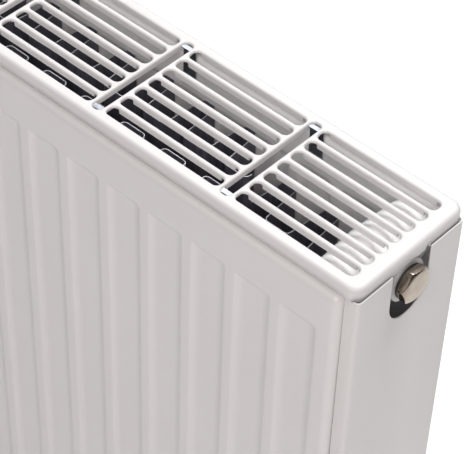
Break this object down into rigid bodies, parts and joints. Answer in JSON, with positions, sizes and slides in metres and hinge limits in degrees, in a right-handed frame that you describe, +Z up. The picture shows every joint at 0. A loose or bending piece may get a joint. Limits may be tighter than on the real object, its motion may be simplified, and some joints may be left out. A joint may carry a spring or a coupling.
{
  "type": "steel panel radiator",
  "caption": "Double-panel, double-convector steel radiator with a clipped-on slotted top grille, pull-off side panels, blanking plug and air vent.",
  "frame": {"origin": "middle of the bottom of the overall box: midway between the ends, midway between the front face and the backs of the hanging lugs, at the panels' bottom edges", "axes": "+X along the length towards the end with the blanking plug, -Y towards the room, +Z up"},
  "size_m": [0.8146, 0.11, 0.6],
  "materials": {
    "white_paint": "semi-gloss stove enamel",
    "convector_paint": "thin dark primer with bare edges",
    "boss_paint": "thin primer",
    "nickel": "satin nickel plate",
    "spring_steel": "bright",
    "black_rubber": "matt",
    "white_plastic": "satin",
    "brass": "turned"
  },
  "bodies": {
    "radiator": {"front_panel_outer_sheet": "white_paint", "front_panel_inner_sheet": "white_paint", "rear_panel_inner_sheet": "white_paint", "rear_panel_outer_sheet": "white_paint", "front_convector": "convector_paint", "rear_convector": "convector_paint", "top_right_tee": "white_paint", "top_left_tee": "white_paint", "bottom_right_tee": "white_paint", "bottom_left_tee": "white_paint", "top_right_boss": "boss_paint", "top_left_boss": "boss_paint", "bottom_right_boss": "boss_paint", "bottom_left_boss": "boss_paint", "vent_plug": "nickel", "vent_o_ring": "black_rubber", "upper_lugs": "white_paint", "lower_lugs": "white_paint"},
    "grille": {"top_grille": "white_paint", "grille_clips": "spring_steel"},
    "right_side": {"right_side_panel": "white_paint", "right_side_clips": "spring_steel"},
    "left_side": {"left_side_panel": "white_paint", "left_side_clips": "spring_steel"},
    "plug_seal": {"blanking_o_ring": "black_rubber"},
    "plug": {"blanking_plug": "nickel"},
    "bleed_screw": {"vent_screw": "brass"},
    "bleed_collar": {"vent_collar": "white_plastic"}
  },
  "joints": [
    {"name": "grille_lift", "type": "slide", "parent": "radiator", "child": "grille", "axis": [0, 0, 1], "range_m": [0, 0.1]},
    {"name": "right_side_pull", "type": "slide", "parent": "radiator", "child": "right_side", "axis": [1, 0, 0], "range_m": [0, 0.06]},
    {"name": "left_side_pull", "type": "slide", "parent": "radiator", "child": "left_side", "axis": [-1, 0, 0], "range_m": [0, 0.06]},
    {"name": "plug_travel", "type": "slide", "parent": "radiator", "child": "plug_seal", "axis": [1, 0, 0], "range_m": [0, 0.01452]},
    {"name": "plug_turn", "type": "hinge", "parent": "plug_seal", "child": "plug", "pos_m": [0.4017, -0.004, 0.575], "axis": [1, 0, 0], "range_deg": [0, 2880]},
    {"name": "bleed_screw_turn", "type": "hinge", "parent": "radiator", "child": "bleed_screw", "pos_m": [-0.4017, -0.004, 0.575], "axis": [-1, 0, 0], "range_deg": [0, 540]},
    {"name": "bleed_collar_swivel", "type": "hinge", "parent": "radiator", "child": "bleed_collar", "pos_m": [-0.4054, -0.004, 0.575], "axis": [-1, 0, 0], "continuous": true}
  ],
  "couplings": [
    {"joint": "plug_travel", "follows": "plug_turn", "m_per_rad": 0.00028875}
  ]
}
